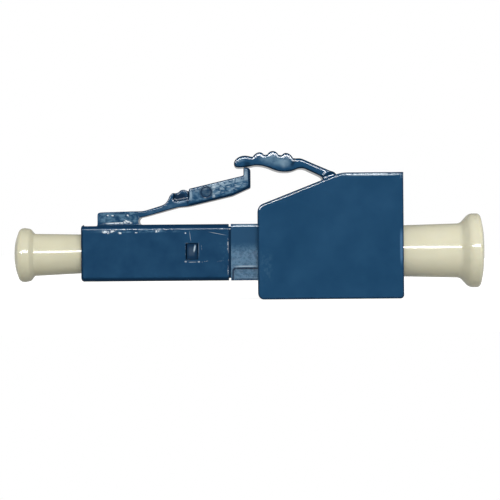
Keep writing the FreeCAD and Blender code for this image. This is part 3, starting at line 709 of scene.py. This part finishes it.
def buildLatch(s):
    work = bmesh.new()
    leverLow = s["leverTop"] - s["leverDepth"]
    under = [(s["leverX"], leverLow, 0), (s["stripBottomX"], s["stripBottomZ"], s["stripBottomRound"])]
    top = smoothLine(s["stripTop"], closed=False) + smoothLine(s["lugBack"], closed=False)[1:]
    strip = top + [(s["leverX"], s["ledgeRearZ"], 0)] + under
    root = [
        (*s["stripLow"], s["stripLowRound"]), (s["pivotX"], s["lowZ"], s["stripLowRound"]),
        (s["stripTop"][0][0], s["lowZ"], 0),
    ]
    plate(work, strip + root, s["rootWidth"])
    # it widens to the lug's width in small steps that the softening evens out
    for k in range(1, s["flareSteps"] + 1):
        fromX = s["flareFromX"] + (s["flareToX"] - s["flareFromX"]) * k / s["flareSteps"]
        lowZ = s["stripLow"][1] + (s["stripBottomZ"] - s["stripLow"][1]) * (
            (fromX - s["stripLow"][0]) / (s["stripBottomX"] - s["stripLow"][0]))
        wide = [(x, z, r) for x, z, r in strip if x > fromX]
        plate(work, [(fromX, wide[0][1] - 0.02, 0)] + wide + [(fromX, lowZ + 0.01, 0)],
              s["rootWidth"] + (s["width"] - s["rootWidth"]) * k / s["flareSteps"])
    # the rib behind the lug
    plate(work, smoothLine(s["ribTop"], closed=False) + under + [(*s["ribToe"], 0)], s["ribWidth"])
    rearX = s["hookX"] + s["hookThickness"]
    leverTopRear = s["leverTop"] + s["leverSlope"] * (s["hookX"] - s["leverX"])
    tailX = rearX - s["tail"]
    tailZ = leverLow + s["leverSlope"] * (tailX - s["leverX"])
    heelZ = tailZ + s["leverSlope"] * s["tail"] + s["tailLift"]
    # lower and rear edges are well rounded: full width inside, narrower for the last bit
    for share in (0.0, 0.3, 1.0):
        lift, width = share * s["lowRound"], s["width"] - 2 * s["lowRound"] * (1 - share) ** 2
        endX = rearX - lift
        plate(work, [
            (s["leverX"], s["leverTop"], s["leverRound"]), (s["hookX"], leverTopRear, 0),
            (s["hookX"], s["hookTop"], s["hookTipRound"]), (endX, s["hookTop"], s["hookBackRound"]),
            (endX, heelZ + lift, s["heelRound"]), (tailX, tailZ + lift, s["tailRound"]),
            (s["leverX"], leverLow + lift, s["leverRound"]),
        ], width)
    piece = moulded("latchLever", work, s)
    # the root sinks into the block, and the mark into the near side
    markZ = s["leverTop"] + s["leverSlope"] * (s["markX"] - s["leverX"]) - s["leverDepth"] / 2 + s["markLift"]
    for vertex in piece.data.vertices:
        sunk = min(1.0, max(0.0, (s["rootSinkX"] - vertex.co.x) / s["rootFade"]))
        vertex.co.y *= 1 - s["rootSink"] * sunk
        if vertex.co.y > -s["width"] / 2 + s["nearSide"]:
            continue
        offGroove = math.hypot(vertex.co.x - s["markX"], vertex.co.z - markZ) - s["markRadius"] + s["grooveInset"]
        groove = math.exp(-(offGroove / s["grooveWidth"]) ** 2)
        disc = 1 / (1 + math.exp(offGroove / s["discEdge"]))
        vertex.co.y += s["markDepth"] * (groove + s["discShare"] * disc)
    return finishMesh(piece, latchBlue)


latchLever = buildLatch(latchSizes)
print("latch:", len(latchLever.data.polygons), "faces")

# Trigger: rounded nose over the hook, arched grip, straight arm and the root that runs into the housing's top.
# Its side is a smooth line through these points, and the ribs come after. The straight closing line at the root
# lies inside the housing.
triggerSizes = {
    "side": [
        (20.35, 6.25), (19.85, 6.5), (19.34, 6.72), (18.55, 7.06), (17.95, 7.33), (17.62, 7.46), (17.42, 7.49),
        (17.22, 7.46), (16.95, 7.5), (16.4, 7.66), (15.9, 7.76), (15.4, 7.8), (14.85, 7.79), (14.3, 7.72),
        (13.95, 7.64), (13.68, 7.62), (13.42, 7.69), (13.12, 7.73), (12.84, 7.69), (12.56, 7.57), (12.33, 7.36),
        (12.23, 7.1), (12.27, 6.89), (12.42, 6.79), (12.65, 6.77), (12.98, 6.785), (13.4, 6.83), (13.6, 6.86),
        (13.75, 6.9), (13.97, 6.93), (14.47, 6.89), (14.97, 6.75), (15.46, 6.55), (15.96, 6.42), (16.54, 6.40),
        (16.96, 6.48), (17.28, 6.61), (17.55, 6.67), (17.86, 6.64), (18.28, 6.45), (18.79, 6.21), (19.2, 6.0),
        (19.32, 5.9), (19.5, 5.7),
    ],
    "width": 3.62,
    # the foot, a low ledge on the housing's slope, a little wider than the arm
    "footWidth": 3.9, "footX": 19.32, "footEndX": 20.45, "footLift": 0.3, "footSink": 0.3, "footRound": 0.1,
    "footBack": 0.1, "footRamp": 0.3, "footRampDrop": 0.12, "footEndDrop": 0.06,
    "slopeX": 14.1, "slopeZ": 3.67, "slopeRate": 0.3922,
    "voxel": 0.035, "smoothRounds": 100,
}
gripRibs = {"Rib Count": 3, "Pitch": 1.16, "First X": 14.21, "Radius": 0.5, "Sink": 0.227, "Top Angle": 0.5}


def ribTree():
    # round ribs raised across the top of the grip
    tree, given = newTree("gripRibs", gripRibs)
    place = addNode(tree, "GeometryNodeInputPosition")
    alongX = addNode(tree, "ShaderNodeSeparateXYZ", {0: place}).outputs["X"]
    fromFirst = addNode(tree, "ShaderNodeMath", {0: alongX, 1: given["First X"]}, operation="SUBTRACT")
    # the nearest rib's number, and the way from its middle
    number = addNode(tree, "ShaderNodeMath", {0: fromFirst, 1: given["Pitch"]}, operation="DIVIDE")
    number = addNode(tree, "ShaderNodeMath", {0: number}, operation="ROUND")
    number = addNode(tree, "ShaderNodeMath", {0: number, 1: 0.0}, operation="MAXIMUM")
    last = addNode(tree, "ShaderNodeMath", {0: given["Rib Count"], 1: 1.0}, operation="SUBTRACT")
    number = addNode(tree, "ShaderNodeMath", {0: number, 1: last}, operation="MINIMUM")
    middle = addNode(tree, "ShaderNodeMath", {0: number, 1: given["Pitch"]}, operation="MULTIPLY")
    away = addNode(tree, "ShaderNodeMath", {0: fromFirst, 1: middle}, operation="SUBTRACT")
    # the part of a circle that stands above the grip
    radius = addNode(tree, "ShaderNodeMath", {0: given["Radius"], 1: 2.0}, operation="POWER")
    square = addNode(tree, "ShaderNodeMath", {0: away, 1: away}, operation="MULTIPLY")
    square = addNode(tree, "ShaderNodeMath", {0: radius, 1: square}, operation="SUBTRACT")
    square = addNode(tree, "ShaderNodeMath", {0: square, 1: 0.0}, operation="MAXIMUM")
    height = addNode(tree, "ShaderNodeMath", {0: square}, operation="SQRT")
    height = addNode(tree, "ShaderNodeMath", {0: height, 1: given["Sink"]}, operation="SUBTRACT")
    height = addNode(tree, "ShaderNodeMath", {0: height, 1: 0.0}, operation="MAXIMUM")
    # only where the skin looks up
    normal = addNode(tree, "GeometryNodeInputNormal")
    upward = addNode(tree, "ShaderNodeSeparateXYZ", {0: normal}).outputs["Z"]
    onTop = addNode(tree, "ShaderNodeMapRange", levels(upward, (0.0, given["Top Angle"])),
                    interpolation_type="SMOOTHSTEP")
    height = addNode(tree, "ShaderNodeMath", {0: height, 1: onTop}, operation="MULTIPLY")
    offset = addNode(tree, "ShaderNodeCombineXYZ", {"Z": height})
    moved = addNode(tree, "GeometryNodeSetPosition", {"Geometry": given["Geometry"], "Offset": offset})
    return endTree(tree, given, moved)


def buildTrigger(s):
    work = bmesh.new()
    plate(work, smoothLine(s["side"]), s["width"])
    frontZ, rearZ = [s["slopeZ"] + s["slopeRate"] * (x - s["slopeX"]) for x in (s["footX"], s["footEndX"])]
    backX = s["footEndX"] + s["footBack"]
    plate(work, [
        (s["footX"], frontZ - s["footSink"], 0), (s["footX"], frontZ + s["footLift"], s["footRound"]),
        (s["footEndX"] - s["footRamp"], rearZ - s["footRampDrop"] + s["footLift"], s["footRound"]),
        (backX, rearZ - s["footEndDrop"], 0), (backX, rearZ - s["footSink"], 0),
    ], s["footWidth"])
    piece = moulded("triggerLever", work, s)
    return finishMesh(runTree(piece, ribTree(), {**gripRibs, "Material": triggerBlue}), triggerBlue)


triggerLever = buildTrigger(triggerSizes)
print("trigger:", len(triggerLever.data.polygons), "faces")

# Dust caps: each outline gives X, radius and corner round, and is turned round the light path.
capSizes = {
    "front": [
        (-5.44, 0.0, 0.0), (-5.44, 1.0925, 2.185), (-5.06, 2.145, 0.42), (-4.66, 2.185, 0.25), (-4.2, 2.105, 0.34),
        (-3.87, 1.70, 0.15), (0.0, 1.57, 0.0), (0.0, 1.45, 0.0), (2.1, 1.41, 0.1), (2.1, 0.6445, 0.05),
        (-2.3, 0.6445, 0.1), (-2.3, 0.0, 0.0),
    ],
    "rear": [
        (17.4, 1.5395, 0.0), (17.4, 2.02, 0.1), (25.7, 2.07, 0.0), (30.4, 2.19, 0.6), (31.12, 2.985, 0.75),
        (31.98, 2.985, 0.3), (32.165, 2.2, 0.5), (32.165, 0.0, 0.0), (24.8, 0.0, 0.0), (24.8, 1.5395, 0.0),
    ],
    "arcStep": 0.05,
    # outside the plug's mouth the soft front cap hangs down a little
    "droopFromX": 0.3, "droop": 0.035, "droopSlope": 0.0131,
}
lathe = {"Steps Around": 128, "Weld Distance": 0.002}


def latheTree():
    # turns the outline's points round the X axis: a grid with a row for each point, bent to a tube and welded
    tree, given = newTree("turnedCap", lathe)
    count = addNode(tree, "GeometryNodeAttributeDomainSize", {"Geometry": given["Geometry"]}).outputs["Point Count"]
    around = addNode(tree, "ShaderNodeMath", {0: given["Steps Around"], 1: 1.0}, operation="ADD")
    grid = addNode(tree, "GeometryNodeMeshGrid", {"Vertices X": count, "Vertices Y": around}).outputs["Mesh"]
    index = addNode(tree, "GeometryNodeInputIndex")
    row = addNode(tree, "ShaderNodeMath", {0: index, 1: around}, operation="DIVIDE")
    row = addNode(tree, "ShaderNodeMath", {0: row}, operation="FLOOR")
    step = addNode(tree, "ShaderNodeMath", {0: row, 1: around}, operation="MULTIPLY")
    step = addNode(tree, "ShaderNodeMath", {0: index, 1: step}, operation="SUBTRACT")
    angle = addNode(tree, "ShaderNodeMath", {0: step, 1: given["Steps Around"]}, operation="DIVIDE")
    angle = addNode(tree, "ShaderNodeMath", {0: angle, 1: math.tau}, operation="MULTIPLY")
    place = addNode(tree, "GeometryNodeInputPosition")
    sample = addNode(tree, "GeometryNodeSampleIndex", {
        "Geometry": given["Geometry"], "Value": place, "Index": row,
    }, data_type="FLOAT_VECTOR", domain="POINT")
    turned = addNode(tree, "ShaderNodeVectorRotate", {"Angle": angle, "Vector": sample}, rotation_type="X_AXIS")
    shaped = addNode(tree, "GeometryNodeSetPosition", {"Geometry": grid, "Position": turned})
    welded = addNode(tree, "GeometryNodeMergeByDistance", {"Geometry": shaped, "Distance": given["Weld Distance"]})
    return endTree(tree, given, welded)


def turnedPiece(name, corners, tree, material):
    outline = roundedOutline(corners, capSizes["arcStep"])
    if corners[0][1] > 0:
        outline.append(outline[0])      # a ring closes on itself, a solid closes on the axis
    mesh = bpy.data.meshes.new(name)
    mesh.from_pydata([(p.x, 0, p.y) for p in outline], [(i, i + 1) for i in range(len(outline) - 1)], [])
    return runTree(newObject(name, mesh), tree, {**lathe, "Material": material})


def drooped(piece, s):
    for vertex in piece.data.vertices:
        outside = max(0.0, s["droopFromX"] - vertex.co.x)
        vertex.co.z -= min(1.0, outside / s["droopFromX"]) * s["droop"] + outside * s["droopSlope"]
    return piece


capTree = latheTree()
frontDustCap = turnedPiece("frontDustCap", capSizes["front"], capTree, frontIvory)
finishMesh(drooped(frontDustCap, capSizes), frontIvory)
rearDustPlug = finishMesh(turnedPiece("rearDustPlug", capSizes["rear"], capTree, rearIvory), rearIvory)
print("caps:", len(frontDustCap.data.polygons), "and", len(rearDustPlug.data.polygons), "faces")

# Coil spring behind the ferrule's collar
springSizes = {"Turns": 6.0, "Coil Radius": 1.1, "Wire Radius": 0.15, "Start X": 5.55, "Length": 4.13}


def springTree():
    tree, given = newTree("coilSpring", springSizes)
    spiral = addNode(tree, "GeometryNodeCurveSpiral", {
        "Resolution": 32, "Rotations": given["Turns"], "Start Radius": given["Coil Radius"],
        "End Radius": given["Coil Radius"], "Height": given["Length"],
    })
    wire = addNode(tree, "GeometryNodeCurvePrimitiveCircle", {"Resolution": 16, "Radius": given["Wire Radius"]})
    coil = addNode(tree, "GeometryNodeCurveToMesh", {
        "Curve": spiral, "Profile Curve": wire.outputs["Curve"], "Fill Caps": True,
    })
    start = addNode(tree, "ShaderNodeCombineXYZ", {"X": given["Start X"]})
    laid = addNode(tree, "GeometryNodeTransform", {
        "Geometry": coil, "Translation": start, "Rotation": (0, math.pi / 2, 0),
    })
    return endTree(tree, given, laid)


coilSpring = newObject("coilSpring", bpy.data.meshes.new("coilSpring"))
runTree(coilSpring, springTree(), {**springSizes, "Material": hidden["springSteel"]})
finishMesh(coilSpring, hidden["springSteel"])
print("spring:", len(coilSpring.data.polygons), "faces")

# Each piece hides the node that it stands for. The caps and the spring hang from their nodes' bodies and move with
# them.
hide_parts("latch_arm")
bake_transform(latchLever)
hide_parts("trigger_arm")
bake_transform(triggerLever)
for piece, body, nodeName, slot in (
    (frontDustCap, "front_cap", "front_dust_cap", "ivory_cap"),
    (rearDustPlug, "rear_plug", "rear_dust_plug", "ivory_cap"),
    (coilSpring, "body", "coil_spring", "spring_steel"),
):
    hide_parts(nodeName)
    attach(piece, body)
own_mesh(coilSpring)
print("pieces placed")

# Studio: a soft key lamp above the camera, a long thin lamp just above the lens that draws the bright edge lines,
# two weak lamps at the sides and one behind. A glossy skin sees a dim room in front, so that faces turned to the
# camera keep their colour, and the backdrop behind.
studio = {
    "aim": (0.0135, 0.0, 0.002),
    # name, place, width, height, power, whether it lights the colours, whether it leaves a highlight
    "lamps": [
        ("keyLamp", (0.06, -0.5, 0.23), 0.35, 0.2, 1.9, True, False),
        ("stripLamp", (0.0135, -0.6, 0.162), 0.9, 0.07, 13.0, False, True),
        ("sideLamp", (-0.5365, 0.08, 0.06), 0.2, 0.2, 0.5, True, False),
        ("sideLamp", (0.5635, 0.08, 0.06), 0.2, 0.2, 0.5, True, False),
        ("backLamp", (0.03, 0.6, 0.12), 0.8, 0.18, 3.0, True, False),
    ],
    "ambientFront": 0.7,
    "ambientBack": 0.1,
    "ambientLevels": (0.5, -0.8),   # Y of the direction that the light comes from, from the back to the front
    "dimRoom": 0.03,
    "mirroredBackdrop": 0.5,        # how pale the backdrop is in a glossy skin
    "backdropSides": (-0.3, 0.4),   # Y of the direction, where the mirrored backdrop begins and is full
    "backdropTop": (0.45, 0.2),     # Z of the direction, where it has ended and is full
    "floorColour": "#b4b4b1",
    "floorGlow": 0.85,
    "floorReach": 3.0,
}
for name, place, width, height, power, lights, mirrored in studio["lamps"]:
    data = bpy.data.lights.new(name, "AREA")
    data.shape = "RECTANGLE"
    data.size, data.size_y, data.energy = width, height, power
    lamp = newObject(name, data)
    lamp.location = place
    lamp.rotation_euler = (Vector(studio["aim"]) - Vector(place)).to_track_quat("-Z", "Y").to_euler()
    lamp.visible_camera = False
    lamp.visible_diffuse = lights
    lamp.visible_glossy = mirrored


def rayKinds(owner):
    # an empty tree, its light path, and 1 for rays from the camera, straight or through clear pieces
    owner.use_nodes = True
    tree = owner.node_tree
    tree.nodes.clear()
    path = addNode(tree, "ShaderNodeLightPath").outputs
    seen = addNode(tree, "ShaderNodeMath", {
        0: path["Is Camera Ray"], 1: path["Is Transmission Ray"],
    }, operation="MAXIMUM")
    return tree, path, seen


# the world: white where it is seen, the dimmed backdrop and room where it is mirrored, soft light elsewhere
world = bpy.data.worlds.new("studio")
scene.world = world
tree, path, seen = rayKinds(world)
direction = addNode(tree, "ShaderNodeTexCoord").outputs["Generated"]
pointing = addNode(tree, "ShaderNodeSeparateXYZ", {0: direction}).outputs
behind = addNode(tree, "ShaderNodeMapRange", levels(pointing["Y"], studio["backdropSides"]),
                 interpolation_type="SMOOTHSTEP")
low = addNode(tree, "ShaderNodeMapRange", levels(pointing["Z"], studio["backdropTop"]),
              interpolation_type="SMOOTHSTEP")
backdrop = addNode(tree, "ShaderNodeMath", {0: behind, 1: low}, operation="MULTIPLY")
backdrop = addNode(tree, "ShaderNodeMath", {0: backdrop, 1: studio["mirroredBackdrop"]}, operation="MULTIPLY")
room = addNode(tree, "ShaderNodeMath", {0: backdrop, 1: studio["dimRoom"]}, operation="MAXIMUM")
ambient = addNode(tree, "ShaderNodeMapRange", {
    **levels(pointing["Y"], studio["ambientLevels"]),
    "To Min": studio["ambientBack"], "To Max": studio["ambientFront"],
})
white = addNode(tree, "ShaderNodeMath", {0: seen, 1: room}, operation="MAXIMUM")
seenOrMirrored = addNode(tree, "ShaderNodeMath", {0: seen, 1: path["Is Glossy Ray"]}, operation="MAXIMUM")
blend = addNode(tree, "ShaderNodeMixShader", {
    0: seenOrMirrored,
    1: addNode(tree, "ShaderNodeBackground", {"Color": (1, 1, 1, 1), "Strength": ambient}),
    2: addNode(tree, "ShaderNodeBackground", {"Color": (1, 1, 1, 1), "Strength": white}),
})
addNode(tree, "ShaderNodeOutputWorld", {"Surface": blend})

# the floor: matt paper that takes the shadow, and glows only for the camera
floorMaterial = bpy.data.materials.new("paper white floor")
tree, _, seen = rayKinds(floorMaterial)
paper = addNode(tree, "ShaderNodeBsdfDiffuse", {"Color": hexToLinear(studio["floorColour"])})
glow = addNode(tree, "ShaderNodeMath", {0: seen, 1: studio["floorGlow"]}, operation="MULTIPLY")
glow = addNode(tree, "ShaderNodeEmission", {"Color": (1, 1, 1, 1), "Strength": glow})
addNode(tree, "ShaderNodeOutputMaterial", {"Surface": addNode(tree, "ShaderNodeAddShader", {0: paper, 1: glow})})
floorMesh = bpy.data.meshes.new("floor")
reach = studio["floorReach"]
floorMesh.from_pydata([
    (x * reach, y * reach, cadBox[0].z) for x, y in ((-1, -1), (1, -1), (1, 1), (-1, 1))
], [], [(0, 1, 2, 3)])
floorMesh.materials.append(floorMaterial)
floor = newObject("floor", floorMesh)
floor.visible_glossy = False        # glossy skins mirror the dimmed backdrop instead of the lit floor

# Camera: level with the light path, 170 mm in front, rolled by under half a degree
cameraView = {"place": (0.01348, -0.170, 0.000168), "roll": 0.008, "lens": 151.6, "sensorWidth": 36.0}
lens = bpy.data.cameras.new("camera")
lens.sensor_width = cameraView["sensorWidth"]
lens.lens = cameraView["lens"]
camera = newObject("camera", lens)
camera.location = cameraView["place"]
camera.rotation_euler = (math.pi / 2, cameraView["roll"], 0)
scene.camera = camera
scene.view_settings.view_transform = "Standard"
print("studio and camera ready")
